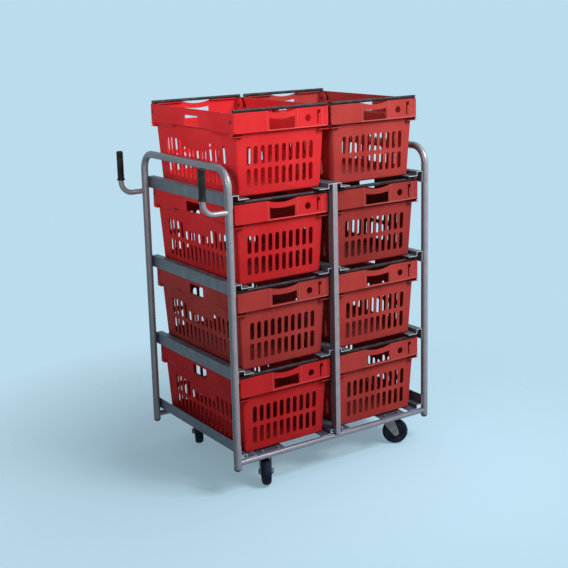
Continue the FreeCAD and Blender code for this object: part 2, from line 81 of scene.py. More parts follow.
def prism(bm, low, high):
    """A closed prism between two loops of points."""
    bottom = [bm.verts.new(p) for p in low]
    top = [bm.verts.new(p) for p in high]
    join_loops(bm, bottom, top)
    bm.faces.new(bottom)
    bm.faces.new(list(reversed(top)))


def prism_along_x(bm, outline, x0, x1):
    """A prism whose outline, in millimetres, is in Y and Z."""
    prism(bm, *[[(x * MM, y * MM, z * MM) for y, z in outline] for x in (x0, x1)])


def prism_along_y(bm, outline, y0, y1):
    """A prism whose outline, in millimetres, is in X and Z."""
    prism(bm, *[[(x * MM, y * MM, z * MM) for x, z in outline] for y in (y0, y1)])


def prism_along_z(bm, outline, z0, z1):
    """A prism whose outline, in millimetres, is in X and Y."""
    prism(bm, *[[(x * MM, y * MM, z * MM) for x, y in outline] for z in (z0, z1)])


def mirrored(sign, span):
    """A span of numbers on one side of the middle, the lower number first."""
    return sorted((sign * span[0], sign * span[1]))


def rectangle(u0, u1, v0, v1):
    """Outline of a rectangle."""
    return [(u0, v0), (u1, v0), (u1, v1), (u0, v1)]


def arc(u, v, radius, start, sweep, steps):
    """Points along part of a circle, from a start and over a sweep in degrees."""
    angles = [math.radians(start + sweep * k / steps) for k in range(steps + 1)]
    return [(u + radius * math.cos(a), v + radius * math.sin(a)) for a in angles]


def rounded_rectangle(u0, u1, v0, v1, radius, steps=4):
    """Outline of a rectangle with rounded corners."""
    corners = ((u1 - radius, v1 - radius, 0), (u0 + radius, v1 - radius, 90),
               (u0 + radius, v0 + radius, 180), (u1 - radius, v0 + radius, 270))
    points = []
    for u, v, start in corners:
        points += arc(u, v, radius, start, 90, steps)
    return points


def upright_slot(u, v0, v1, width, steps=6):
    """Outline of an upright slot with round ends."""
    radius = width / 2
    return arc(u, v1 - radius, radius, 0, 180, steps) + arc(u, v0 + radius, radius, 180, 180, steps)


def regular_outline(u, v, radius, count):
    """Outline of a regular polygon."""
    angles = [2 * math.pi * k / count for k in range(count)]
    return [(u + radius * math.cos(a), v + radius * math.sin(a)) for a in angles]


def evaluated_mesh(obj, name):
    """The mesh of an object with its modifiers applied."""
    graph = bpy.context.evaluated_depsgraph_get()
    mesh = bpy.data.meshes.new_from_object(obj.evaluated_get(graph))
    mesh.name = name
    return mesh


def smooth_by_angle(mesh, degrees):
    """Smooth shading with edges sharper than the angle kept crisp."""
    for polygon in mesh.polygons:
        polygon.use_smooth = True
    mesh.set_sharp_from_angle(angle=math.radians(degrees))


def soften(obj, width, segments, degrees):
    """Round the edges that are sharper than an angle, by a width in millimetres."""
    bevel = obj.modifiers.new("soften", "BEVEL")
    bevel.width = width * MM
    bevel.segments = segments
    bevel.limit_method = "ANGLE"
    bevel.angle_limit = math.radians(degrees)
    return bevel


def boolean(obj, other, operation):
    """Join another mesh to an object or cut it away."""
    step = obj.modifiers.new(operation.lower(), "BOOLEAN")
    step.operation = operation
    step.solver = "EXACT"
    step.use_self = True
    step.object = other


def turned(bm, profile, steps):
    """A closed turned body about Z from (radius, height) pairs; a radius of zero is a single point."""
    rings = []
    for radius, z in profile:
        if radius == 0:
            rings.append([bm.verts.new((0, 0, z))])
        else:
            ring = regular_outline(0, 0, radius, steps)
            rings.append([bm.verts.new((x, y, z)) for x, y in ring])
    for lower, upper in zip(rings, rings[1:] + rings[:1]):
        for k in range(steps):
            corners = ((lower, k), (lower, k + 1), (upper, k + 1), (upper, k))
            face = list(dict.fromkeys(ring[place % len(ring)] for ring, place in corners))
            if len(face) > 2:
                bm.faces.new(face)


# Crate, in millimetres about its own middle, standing on Z = 0

HALF_WIDTH = 200
HALF_LENGTH = 300
HEIGHT = 290
WALL = 3
CORNER_R = 10
CORNER_STEPS = 4

# Plain panel of a long side: half its length, and where it has blended into the side
PANEL_HALF = 122
PANEL_BLEND = 148

# Outside levels: insets of a long side and of an end, height, then the plain panel's own inset and height
OUTSIDE = (
    (31.5, 31.5, 0, 31.5, 0),
    (28.0, 28.0, 2, 28.0, 2),
    (25.5, 25.5, 7, 25.5, 7),
    (15.5, 15.5, 204, 14.6, 219),
    (9.0, 15.0, 213, 9.0, 222.0),
    (4.6, 14.6, 219.5, 4.6, 223.4),
    (3.5, 0.8, 220.4, 3.5, 223.8),
    (2.9, 0, 221.2, 2.9, 224.2),
    (0, 0, 226.5, 0, 226.5),
    (0, 0, HEIGHT, 0, HEIGHT),
)

# Rows of upright slots, and how they stand in the ends and in the long sides
SLOT_WIDTH = 17
SLOT_ROWS = ((31, 95.5), (108.5, 173))
END_SLOTS = 10
END_SLOT_PITCH = 29
SIDE_SLOTS = 14
SIDE_SLOT_PITCH = 31
SIDE_TALL_SLOTS = 4
SIDE_SHORT_TOP = 146

# Dip in the middle of an end rim, and the hand hold under it
DIP_HALF = 62
DIP_DEPTH = 10
DIP_STEPS = 12
HOLD_HALF = 53
HOLD_LOWER_CORNER = ((48, 224.5), (51.5, 225.5), (HOLD_HALF, 229))
HOLD_TOP = 265
HOLD_SAG = 4.5
HOLD_STEPS = 8

# Round hole and key-shaped slot beside an end's hand hold
HOLE_X = 108
HOLE_Z = 254
HOLE_R = 12.5
HOLE_STEPS = 28
KEY_SLOT = ((147.5, 232), (153.5, 232), (153.5, 264), (161, 268), (161, 280), (147.5, 280))

# Sunk panels of an end's collar: from and to across the end, lower edge and depth
SUNK_PANELS = (
    (-210, -63.3, 216, 1.0),
    (-60.8, 60.8, 225, 1.7),
    (63.3, 168, 225, 1.0),
    (170.6, 210, 225, 1.0),
)

# Hand hold of a long side, which stands off the middle
SIDE_HOLD_Y = (-35, 63)
SIDE_HOLD_Z = (227.5, 265.5)
SIDE_HOLD_R = 5

# Where the cuts end: past the walls, over the rim and before the face of an end
CUT_REACH = 320
ABOVE_RIM = 10
BEFORE_FACE = 5

# Where they end inside: how far from the middle for one end alone, and the gap between the two side holds
END_REACH = 275
MIDDLE_GAP = 0.1

# Bale arm pivot, its window, and the rounded plate that hides the arm's leg
PIVOT_Y = 282
PIVOT_Z = 260
PIVOT_WINDOW_HALF = 6
GUARD_X = (181.1, 183.6)
GUARD_EDGE = 298.4
GUARD_FOOT = 223.2
GUARD_SHOULDER = 286.9
GUARD_R = 30.4
GUARD_START = 117.5
GUARD_SWEEP = 150
GUARD_STEPS = 12

# Boxes in each corner, by their spans in X, Y and Z: rim flange, lug for the swung-in arm, fin and its block
FLANGE = ((DIP_HALF, 178), (HALF_LENGTH - 16, HALF_LENGTH - 0.5), (HEIGHT - 3, HEIGHT - 0.2))
LUG = ((183.4, 198.5), (247, 259), (244.2, 254.2))
FIN = ((155, 199), (283.2, 299), (208.2, 210.5))
FIN_BLOCK = ((183, 196.2), (266.4, 284), (206.3, 220.7))

# Web that closes a corner between the collar and the fin, with a hollow edge, in Y and Z
WEB_X = (196, 199.1)
WEB = ((266, 206.1), (288, 206.1), (288.6, 209.5), (290.2, 213.2), (293.2, 216.6), (298.9, 219.6),
       (298.9, 221), (266, 221))

# Softened edges, and the painted highlight, with some wear, on those of the collar and on its ribs
EDGE_WIDTH = 0.8
EDGE_SEGMENTS = 2
CREASE_DEGREES = 38
EDGE_MATERIAL = 1
COLLAR_EDGES_FROM = 204
RIB_DEPTH = 0.9
RIB_HIGHLIGHT_AND_WEAR = 0.5
SLIVER = 0.003

# The crates that are still bright, and how each crate's colour is scaled next to the colour of its kind: partly
# its own fading, partly painted shade and light for its place in the stack
BRIGHT_CRATES = ("left_1", "left_3", "left_4")
CRATE_FADE_AND_PAINTED_LIGHT = {"left_1": 0.82, "right_1": 1.12, "left_2": 1.0, "right_2": 1.08,
               "left_3": 0.86, "right_3": 0.80, "left_4": 0.97, "right_4": 1.0}


def corner_arc(x, y, start):
    """Points round one corner of the crate's outline."""
    return arc(x, y, CORNER_R, start, 90, CORNER_STEPS)


def crate_loop(side_inset, end_inset, z, panel_inset, panel_z):
    """Points round the crate at one level, with the panel's own inset and height on the long sides."""
    x = HALF_WIDTH - side_inset
    y = HALF_LENGTH - end_inset
    panel_x = HALF_WIDTH - panel_inset
    corner_x = x - CORNER_R
    corner_y = y - CORNER_R
    rear = corner_arc(corner_x, corner_y, 0) + corner_arc(-corner_x, corner_y, 90)
    front = corner_arc(-corner_x, -corner_y, 180) + corner_arc(corner_x, -corner_y, 270)
    side = [(x, -PANEL_BLEND, z), (panel_x, -PANEL_HALF, panel_z),
            (panel_x, PANEL_HALF, panel_z), (x, PANEL_BLEND, z)]
    other_side = [(-u, -v, w) for u, v, w in side]
    points = [(u, v, z) for u, v in rear] + other_side + [(u, v, z) for u, v in front] + side
    return [(u * MM, v * MM, w * MM) for u, v, w in points]


def crate_tub():
    """The plain tub: outside, rim, inside and the two floors."""
    inside = [tuple(number + WALL for number in level) for level in OUTSIDE[:-1]]
    inside.append((WALL, WALL, HEIGHT, WALL, HEIGHT))
    bm = bmesh.new()
    loops = []
    for level in list(OUTSIDE) + inside[::-1]:
        loops.append([bm.verts.new(p) for p in crate_loop(*level)])
    for lower, upper in zip(loops, loops[1:]):
        join_loops(bm, lower, upper)
    bm.faces.new(loops[0])
    bm.faces.new(loops[-1])
    return mesh_object("crate_tub", bm)


def corner_box(bm, side, end, across, along, upright):
    """A box in one corner of the crate."""
    prism_along_z(bm, rectangle(*mirrored(side, across), *mirrored(end, along)), *upright)


def corner_plate(bm, side, end, across, outline):
    """An upright plate in one corner of the crate, with its outline in Y and Z."""
    prism_along_x(bm, [(end * y, z) for y, z in outline], *mirrored(side, across))


def arm_guard():
    """Outline of the rounded plate that hides an arm's leg."""
    edge = [(GUARD_EDGE, GUARD_FOOT), (GUARD_EDGE, GUARD_SHOULDER)]
    back = arc(PIVOT_Y, PIVOT_Z, GUARD_R, GUARD_START, GUARD_SWEEP, GUARD_STEPS)
    return edge + back + [(PIVOT_Y, GUARD_FOOT)]


def crate_additions(bm):
    """Flanges along the end rims, lugs for the swung-in arms, guards over their legs and the corner fins."""
    for side, end in CORNERS:
        corner_box(bm, side, end, *FLANGE)
    for side, end in CORNERS:
        corner_box(bm, side, end, *LUG)
        corner_plate(bm, side, end, GUARD_X, arm_guard())
        corner_box(bm, side, end, *FIN)
        corner_box(bm, side, end, *FIN_BLOCK)
        corner_plate(bm, side, end, WEB_X, WEB)


def rim_dip():
    """Outline of the shallow dip in the middle of an end rim."""
    radius = (DIP_HALF ** 2 + DIP_DEPTH ** 2) / (2 * DIP_DEPTH)
    centre = HEIGHT - DIP_DEPTH + radius
    points = [(DIP_HALF, HEIGHT + ABOVE_RIM), (-DIP_HALF, HEIGHT + ABOVE_RIM)]
    for k in range(DIP_STEPS + 1):
        x = -DIP_HALF + 2 * DIP_HALF * k / DIP_STEPS
        points.append((x, centre - math.sqrt(radius ** 2 - x ** 2)))
    return points


def hand_hold():
    """Outline of an end hand hold, whose upper edge follows the dip."""
    points = [(-x, z) for x, z in reversed(HOLD_LOWER_CORNER)] + list(HOLD_LOWER_CORNER)
    for k in range(HOLD_STEPS + 1):
        x = HOLD_HALF - 2 * HOLD_HALF * k / HOLD_STEPS
        points.append((x, HOLD_TOP - HOLD_SAG * (1 - (x / HOLD_HALF) ** 2)))
    return points


def sunk_panels(bm):
    """Shallow recesses in the end collars, which leave thin ribs between and under them."""
    for side in (-1, 1):
        face = -side * HALF_LENGTH
        for x0, x1, low, depth in SUNK_PANELS:
            y0, y1 = sorted((face + side * depth, face - side * BEFORE_FACE))
            prism_along_y(bm, rectangle(*mirrored(side, (x0, x1)), low, HEIGHT + ABOVE_RIM), y0, y1)


def end_cuts(bm):
    """Slots, hand holds, rim dips and holes of the two ends."""
    for low, high in SLOT_ROWS:
        for k in range(END_SLOTS):
            x = (k - (END_SLOTS - 1) / 2) * END_SLOT_PITCH
            prism_along_y(bm, upright_slot(x, low, high, SLOT_WIDTH), -CUT_REACH, CUT_REACH)
    prism_along_y(bm, hand_hold(), -CUT_REACH, CUT_REACH)
    prism_along_y(bm, rim_dip(), -CUT_REACH, CUT_REACH)
    for side in (-1, 1):
        reach = mirrored(-side, (END_REACH, CUT_REACH))
        prism_along_y(bm, regular_outline(side * HOLE_X, HOLE_Z, HOLE_R, HOLE_STEPS), *reach)
        prism_along_y(bm, [(side * x, z) for x, z in KEY_SLOT], *reach)


def side_cuts(bm):
    """Slots, hand holds and arm windows of the two long sides."""
    (lower_foot, lower_top), (upper_foot, tall_top) = SLOT_ROWS
    for k in range(SIDE_SLOTS):
        y = (k - (SIDE_SLOTS - 1) / 2) * SIDE_SLOT_PITCH
        tall = k < SIDE_TALL_SLOTS or k >= SIDE_SLOTS - SIDE_TALL_SLOTS
        upper_top = tall_top if tall else SIDE_SHORT_TOP
        for low, high in ((lower_foot, lower_top), (upper_foot, upper_top)):
            prism_along_x(bm, upright_slot(y, low, high, SLOT_WIDTH), -CUT_REACH, CUT_REACH)
    for side, x0, x1 in ((-1, -CUT_REACH, 0), (1, MIDDLE_GAP, CUT_REACH)):
        hold = rounded_rectangle(*mirrored(side, SIDE_HOLD_Y), *SIDE_HOLD_Z, SIDE_HOLD_R)
        prism_along_x(bm, hold, x0, x1)
    half = PIVOT_WINDOW_HALF
    for y in (-PIVOT_Y, PIVOT_Y):
        window = rectangle(y - half, y + half, PIVOT_Z - half, PIVOT_Z + half)
        prism_along_x(bm, window, -CUT_REACH, CUT_REACH)


def helper_object(fill):
    """An object with the forms that one function makes."""
    bm = bmesh.new()
    fill(bm)
    return mesh_object(fill.__name__, bm)


def drop_slivers(mesh):
    """Remove the faces and edges of no size that the cuts leave."""
    bm = bmesh.new()
    bm.from_mesh(mesh)
    bmesh.ops.remove_doubles(bm, verts=bm.verts, dist=SLIVER * MM)
    bmesh.ops.dissolve_degenerate(bm, dist=SLIVER * MM, edges=bm.edges)
    bm.to_mesh(mesh)
    bm.free()


def mark_edges(mesh):
    """Keep in an attribute which faces are softened edges or ribs of the collar, to be painted paler as highlight
    and wear, and leave one material.
    """
    edge = mesh.attributes.new("edge", "FLOAT", "FACE")
    for polygon in mesh.polygons:
        on_collar = polygon.center.z > COLLAR_EDGES_FROM * MM
        on_rib = abs(polygon.center.y) > (HALF_LENGTH - RIB_DEPTH) * MM
        highlight_and_wear = RIB_HIGHLIGHT_AND_WEAR if on_rib else float(polygon.material_index == EDGE_MATERIAL)
        edge.data[polygon.index].value = highlight_and_wear if on_collar else 0.0
        polygon.material_index = 0
    mesh.materials.clear()


def crate_mesh():
    """One finished crate mesh: the tub with its additions, all openings and softened edges."""
    tub = crate_tub()
    helpers = [helper_object(fill) for fill in (crate_additions, sunk_panels, end_cuts, side_cuts)]
    boolean(tub, helpers[0], "UNION")
    for helper in helpers[1:]:
        boolean(tub, helper, "DIFFERENCE")
    tub.data.materials.append(None)
    tub.data.materials.append(None)
    soften(tub, EDGE_WIDTH, EDGE_SEGMENTS, CREASE_DEGREES).material = EDGE_MATERIAL
    mesh = evaluated_mesh(tub, "crate")
    drop_slivers(mesh)
    mark_edges(mesh)
    smooth_by_angle(mesh, CREASE_DEGREES)
    for helper in helpers + [tub]:
        bpy.data.objects.remove(helper)
    return mesh


def place_crates(materials):
    """A finished crate in place of each packed one."""
    mesh = crate_mesh()
    for label, fade_and_painted_light in CRATE_FADE_AND_PAINTED_LIGHT.items():
        node = "crate_" + label
        low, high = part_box(node)
        piece = bpy.data.objects.new("tub_" + label, mesh.copy())
        scene.collection.objects.link(piece)
        even = piece.modifiers.new("even", "WEIGHTED_NORMAL")
        even.keep_sharp = True
        piece.location = ((low.x + high.x) / 2, (low.y + high.y) / 2, low.z)
        slot = "crate_red" if label in BRIGHT_CRATES else "crate_faded_red"
        piece.data.materials.append(materials[slot])
        piece.color = (fade_and_painted_light, fade_and_painted_light, fade_and_painted_light, 1.0)
        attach(piece, node)
        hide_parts(node)


# Grips with fine ribs, by radius and height in millimetres

GRIP_BORE = 10.05
GRIP_FLANGE = ((14.6, 0), (15, 1), (15, 5), (14, 6))
GRIP_RIB = ((11.7, 0), (12.5, 0.8), (12.5, 2.6), (11.7, 3.4))
GRIP_RIB_PITCH = 4.2
GRIP_RIBS_FROM = 8
GRIP_RIBS_BELOW_TOP = 9
GRIP_CAP_BELOW_TOP = ((12.5, 5), (11.2, 1.6), (8.5, 0), (0, 0), (0, 5), (GRIP_BORE, 5))
GRIP_STEPS = 40
GRIP_CREASE_DEGREES = 50


def grip_profile(length):
    """Radius and height round the section of a grip."""
    profile = [(GRIP_BORE * MM, 0)] + [(r * MM, z * MM) for r, z in GRIP_FLANGE]
    foot = GRIP_RIBS_FROM * MM
    while foot < length - GRIP_RIBS_BELOW_TOP * MM:
        profile += [(r * MM, foot + rise * MM) for r, rise in GRIP_RIB]
        foot += GRIP_RIB_PITCH * MM
    return profile + [(r * MM, length - drop * MM) for r, drop in GRIP_CAP_BELOW_TOP]


def place_grips(material):
    """A ribbed grip in place of each packed one."""
    for end in ("front", "rear"):
        node = "grip_" + end
        low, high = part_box(node)
        bm = bmesh.new()
        turned(bm, grip_profile(high.z - low.z), GRIP_STEPS)
        piece = mesh_object("ribbed_grip_" + end, bm)
        smooth_by_angle(piece.data, GRIP_CREASE_DEGREES)
        piece.location = ((low.x + high.x) / 2, (low.y + high.y) / 2, low.z)
        piece.data.materials.append(material)
        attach(piece, "frame")
        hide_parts(node)


# Castors, in millimetres: tyres with a rounded tread, and the bolts that hold the plates

CASTORS = ("front_left", "front_right", "rear_left", "rear_right")
TYRE_INSIDE = 37
TYRE_MIDDLE = 40.5
TYRE_CROWN = 9.5
TYRE_HALF_WIDTH = 16
TYRE_SHOULDER = 1.5
TREAD_STEPS = 16
TYRE_STEPS = 64
TYRE_CREASE_DEGREES = 40
CASTOR_X = 285
CASTOR_Y = 246
BOLT_X = 33
BOLT_Y = 40
BOLT_R = 7.2
BOLT_CORNERS = 6
BOLT_HEAD_Z = (118.8, 124)
BOLT_NUT_Z = (131, 137)
BOLT_EDGE_WIDTH = 0.6
BOLT_EDGE_SEGMENTS = 2
BOLT_CREASE_DEGREES = 30


def tyre_profile():
    """Radius and height round the section of a tyre."""
    half_width = TYRE_HALF_WIDTH * MM
    profile = [(TYRE_INSIDE * MM, -half_width + TYRE_SHOULDER * MM)]
    for k in range(TREAD_STEPS + 1):
        angle = math.radians(-90 + 180 * k / TREAD_STEPS)
        radius = TYRE_MIDDLE * MM + TYRE_CROWN * MM * math.cos(angle)
        profile.append((radius, half_width * math.sin(angle)))
    profile.append((TYRE_INSIDE * MM, half_width - TYRE_SHOULDER * MM))
    return profile


def place_tyres(material):
    """A tyre with a rounded tread in place of each packed one."""
    axes = {joint["name"]: joint["axis"] for joint in frame["joints"]}
    for label in CASTORS:
        node = "castor_tyre_" + label
        low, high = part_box(node)
        bm = bmesh.new()
        turned(bm, tyre_profile(), TYRE_STEPS)
        piece = mesh_object("round_tyre_" + label, bm)
        smooth_by_angle(piece.data, TYRE_CREASE_DEGREES)
        piece.location = (low + high) / 2
        piece.rotation_euler = Vector(axes["roll_" + label]).to_track_quat("Z", "Y").to_euler()
        piece.data.materials.append(material)
        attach(piece, "wheel_" + label)
        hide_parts(node)


def place_bolts(material):
    """Bolt heads under the castor plates and nuts on the cross plates."""
    for label in CASTORS:
        x = -CASTOR_X if label.endswith("left") else CASTOR_X
        y = -CASTOR_Y if label.startswith("front") else CASTOR_Y
        bm = bmesh.new()
        for side, end in CORNERS:
            outline = regular_outline(x + side * BOLT_X, y + end * BOLT_Y, BOLT_R, BOLT_CORNERS)
            prism_along_z(bm, outline, *BOLT_HEAD_Z)
            prism_along_z(bm, outline, *BOLT_NUT_Z)
        piece = mesh_object("castor_bolts_" + label, bm)
        soften(piece, BOLT_EDGE_WIDTH, BOLT_EDGE_SEGMENTS, BOLT_CREASE_DEGREES)
        piece.data.materials.append(material)
        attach(piece, "frame")


# Materials

# Steels: base and paler colour, metallic, span of roughness, bareness of cut ends and amount of painted shade on
# flanks
STEELS = {
    "rack_steel": ((0.30, 0.28, 0.315), (0.38, 0.355, 0.40), 0.1, (0.25, 0.36), 0.0, 0.85),
    "runner_steel": ((0.085, 0.092, 0.105), (0.125, 0.132, 0.148), 0.4, (0.42, 0.58), 0.85, 0.0),
    "castor_zinc": ((0.23, 0.22, 0.205), (0.32, 0.305, 0.285), 0.35, (0.32, 0.54), 0.0, 0.0),
}
# Grey of the painted shade on steel flanks that face away from the front and back
FLANK_PAINTED_SHADE = (0.10, 0.098, 0.108)
BARE_STEEL = (0.86, 0.84, 0.86)
STEEL_DUST = (0.26, 0.27, 0.32)
# Steel colour low down: grime with painted shade
STEEL_GRIME_AND_SHADE = (0.08, 0.093, 0.165)

# Dark mouldings: base and dusty colour, span of roughness and scale of the grain
MOULDINGS = {
    "black_plastic": ((0.06, 0.065, 0.075), (0.12, 0.125, 0.14), (0.45, 0.7), 300.0),
    "grip_rubber": ((0.012, 0.012, 0.013), (0.04, 0.04, 0.04), (0.6, 0.85), 500.0),
    "wheel_plastic": ((0.020, 0.022, 0.034), (0.05, 0.052, 0.066), (0.4, 0.65), 300.0),
    "tyre": ((0.008, 0.012, 0.030), (0.022, 0.028, 0.056), (0.5, 0.8), 400.0),
    "arm_plastic": ((0.020, 0.014, 0.017), (0.055, 0.042, 0.050), (0.35, 0.6), 300.0),
}

# Crate plastics: base and paler colour, colour of the grime, which halved is also the painted shade in crevices,
# and amount of scuffs
CRATE_PLASTICS = {
    "crate_red": ((0.66, 0.022, 0.027), (0.73, 0.036, 0.040), (0.16, 0.02, 0.02), 0.5),
    "crate_faded_red": ((0.375, 0.038, 0.034), (0.46, 0.056, 0.050), (0.12, 0.03, 0.03), 0.9),
}

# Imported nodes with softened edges, by the start of their names, and how wide these are in millimetres
SOFTENED_NODES = {"bale_arm": 1.6, "castor_fork": 0.7, "castor_wheel": 0.7}
NODE_EDGE_SEGMENTS = 3
NODE_CREASE_DEGREES = 20


class Shader:
    """A principled material and short calls to build its node tree."""

    MIX_COLOUR_INPUTS = (6, 7)
    MIX_COLOUR_OUTPUT = 2

    def __init__(self, name):
        self.material = bpy.data.materials.new(name)
        self.material.use_nodes = True
        self.tree = self.material.node_tree
        self.main = self.tree.nodes["Principled BSDF"]
        self.place = self.node("ShaderNodeTexCoord").outputs["Object"]

    def node(self, kind, **values):
        """A new node with some of its settings."""
        made = self.tree.nodes.new(kind)
        for key, value in values.items():
            setattr(made, key, value)
        return made

    def link(self, source, target):
        """A link between two sockets."""
        self.tree.links.new(source, target)

    def parts(self, vector):
        """The X, Y and Z of a vector."""
        made = self.node("ShaderNodeSeparateXYZ")
        self.link(vector, made.inputs[0])
        return made.outputs

    def noise(self, scale, detail, roughness=0.55, stretch=(1, 1, 1)):
        """Noise over the object, stretched along its axes."""
        mapping = self.node("ShaderNodeMapping")
        mapping.inputs["Scale"].default_value = stretch
        self.link(self.place, mapping.inputs["Vector"])
        made = self.node("ShaderNodeTexNoise")
        made.inputs["Scale"].default_value = scale
        made.inputs["Detail"].default_value = detail
        made.inputs["Roughness"].default_value = roughness
        self.link(mapping.outputs["Vector"], made.inputs["Vector"])
        return made.outputs["Fac"]

    def ramp(self, value, span, result=(0.0, 1.0)):
        """A value taken from one span of numbers to another, held at the ends."""
        made = self.node("ShaderNodeMapRange")
        for name, number in zip(("From Min", "From Max", "To Min", "To Max"), (*span, *result)):
            made.inputs[name].default_value = number
        self.link(value, made.inputs["Value"])
        return made.outputs["Result"]

    def patches(self, scale, detail, span, result=(0.0, 1.0), **noise_values):
        """Patches over the object: noise taken from one span of numbers to another."""
        return self.ramp(self.noise(scale, detail, **noise_values), span, result)

    def math(self, operation, *values):
        """One operation on sockets and numbers."""
        made = self.node("ShaderNodeMath", operation=operation)
        for socket, value in zip(made.inputs, values):
            if isinstance(value, (int, float)):
                socket.default_value = value
            else:
                self.link(value, socket)
        return made.outputs[0]

    def product(self, first, second):
        """Two values multiplied."""
        return self.math("MULTIPLY", first, second)

    def mix(self, factor, first, second, blend="MIX"):
        """Two colours mixed by a factor; a colour is three numbers or a socket."""
        made = self.node("ShaderNodeMix", data_type="RGBA", blend_type=blend)
        sockets = [made.inputs["Factor"]] + [made.inputs[index] for index in self.MIX_COLOUR_INPUTS]
        for socket, value in zip(sockets, (factor, first, second)):
            if isinstance(value, tuple):
                socket.default_value = (*value, 1.0)
            elif isinstance(value, (int, float)):
                socket.default_value = value
            else:
                self.link(value, socket)
        return made.outputs[self.MIX_COLOUR_OUTPUT]

    def bump(self, height, distance, strength, before=None):
        """Relief from a height, in metres, on top of another relief."""
        made = self.node("ShaderNodeBump")
        made.inputs["Distance"].default_value = distance
        made.inputs["Strength"].default_value = strength
        self.link(height, made.inputs["Height"])
        if before is not None:
            self.link(before, made.inputs["Normal"])
        return made.outputs["Normal"]

    def finish(self, colour, roughness, normal, specular, metallic=0.0):
        """The material with its main values linked or set."""
        self.link(colour, self.main.inputs["Base Color"])
        self.link(roughness, self.main.inputs["Roughness"])
        self.link(normal, self.main.inputs["Normal"])
        self.main.inputs["Metallic"].default_value = metallic
        self.main.inputs["Specular IOR Level"].default_value = specular
        return self.material


def toned(colour, gain, lift=0.0):
    """A colour multiplied and lifted, up to white."""
    return tuple(min(1.0, gain * part + lift) for part in colour)


def crate_plastic(name, base, pale, dark, scuff_amount):
    """Moulded polypropylene with uneven colour, pale scuffs, painted highlight and wear on edges, grime low down,
    painted shade in hollows and a fine grain.
    """
    shader = Shader(name)
    cloud = shader.patches(scale=5.0, detail=5.0, span=(0.35, 0.68))
    # Each crate's own tone, from its object colour: partly fading, partly painted shade and light
    fade_and_painted_light = shader.node("ShaderNodeObjectInfo").outputs["Color"]
    colour = shader.mix(1.0, shader.mix(cloud, base, pale), fade_and_painted_light, "MULTIPLY")

    scratch = shader.patches(
        scale=34.0, detail=6.0, span=(0.60, 0.74), roughness=0.7, stretch=(1.0, 1.0, 5.0))
    patch = shader.patches(scale=7.0, detail=3.0, span=(0.45, 0.65))
    scuff = shader.product(shader.product(scratch, patch), scuff_amount)
    colour = shader.mix(scuff, colour, toned(pale, gain=1.25, lift=0.10))
    # Painted highlight with some wear: softened edges and ribs of the collar turn paler
    edge = shader.node("ShaderNodeAttribute", attribute_name="edge").outputs["Fac"]
    edge_highlight_amount = shader.product(edge, 0.7)
    colour = shader.mix(edge_highlight_amount, colour, toned(pale, gain=1.2, lift=0.16))

    near_floor = shader.ramp(shader.parts(shader.place)["Z"], span=(0.0, 0.09), result=(1.0, 0.0))
    grime = shader.product(near_floor, shader.patches(scale=16.0, detail=5.0, span=(0.40, 0.72)))
    grime_amount = shader.product(grime, 0.45)
    colour = shader.mix(grime_amount, colour, dark)
    # Painted shade: crevices, slots and hollows darken by occlusion towards half the grime colour
    hollow = shader.node("ShaderNodeAmbientOcclusion", samples=8)
    hollow.inputs["Distance"].default_value = 0.02
    painted_crevice_shade = shader.ramp(hollow.outputs["AO"], span=(0.25, 0.7), result=(0.8, 0.0))
    colour = shader.mix(painted_crevice_shade, colour, toned(dark, gain=0.5))

    roughness = shader.patches(scale=22.0, detail=4.0, span=(0.3, 0.7), result=(0.42, 0.62))
    wave = shader.bump(shader.noise(scale=9.0, detail=2.0), distance=0.0012, strength=0.5)
    grain = shader.noise(scale=420.0, detail=3.0)
    normal = shader.bump(grain, distance=0.00012, strength=0.6, before=wave)
    return shader.finish(colour, roughness, normal, specular=0.05)


def coated_steel(name, base, pale, metallic, rough_span, cut_ends, flank_shade_amount):
    """Coated steel with mottling, painted shade on flanks, fine scratches, dust, grime with painted shade low down
    and bare cut ends.
    """
    shader = Shader(name)
    facing = shader.parts(shader.node("ShaderNodeNewGeometry").outputs["Normal"])
    frontal = shader.math("ABSOLUTE", facing["Y"])
    mottle = shader.patches(scale=28.0, detail=5.0, span=(0.35, 0.70))
    colour = shader.mix(mottle, base, pale)
    # Painted shade: faces turned away from the front and back darken towards grey, by direction alone
    painted_flank_shade = shader.ramp(frontal, span=(0.45, 0.92), result=(flank_shade_amount, 0.0))
    colour = shader.mix(painted_flank_shade, colour, FLANK_PAINTED_SHADE)

    scratch = shader.patches(
        scale=90.0, detail=5.0, span=(0.62, 0.74), roughness=0.7, stretch=(1.0, 1.0, 0.12))
    scratch_amount = shader.product(scratch, 0.2)
    colour = shader.mix(scratch_amount, colour, toned(pale, gain=1.5))
    ends = shader.ramp(frontal, span=(0.97, 0.995), result=(0.0, cut_ends))
    colour = shader.mix(ends, colour, BARE_STEEL)

    upward = shader.ramp(facing["Z"], span=(0.6, 1.0))
    dust = shader.product(upward, shader.patches(scale=14.0, detail=4.0, span=(0.35, 0.7)))
    dust_amount = shader.product(dust, 0.30)
    colour = shader.mix(dust_amount, colour, STEEL_DUST)
    # Painted shade with some grime: darker and bluer low down, most on faces turned up
    near_floor = shader.ramp(shader.parts(shader.place)["Z"], span=(0.12, 0.30), result=(1.0, 0.0))
    grime = shader.product(near_floor, shader.ramp(facing["Z"], span=(0.3, 0.9), result=(0.2, 0.7)))
    colour = shader.mix(grime, colour, STEEL_GRIME_AND_SHADE)

    roughness = shader.patches(scale=40.0, detail=4.0, span=(0.3, 0.7), result=rough_span)
    normal = shader.bump(shader.noise(scale=260.0, detail=3.0), distance=0.00006, strength=0.4)
    return shader.finish(colour, roughness, normal, specular=0.9, metallic=metallic)


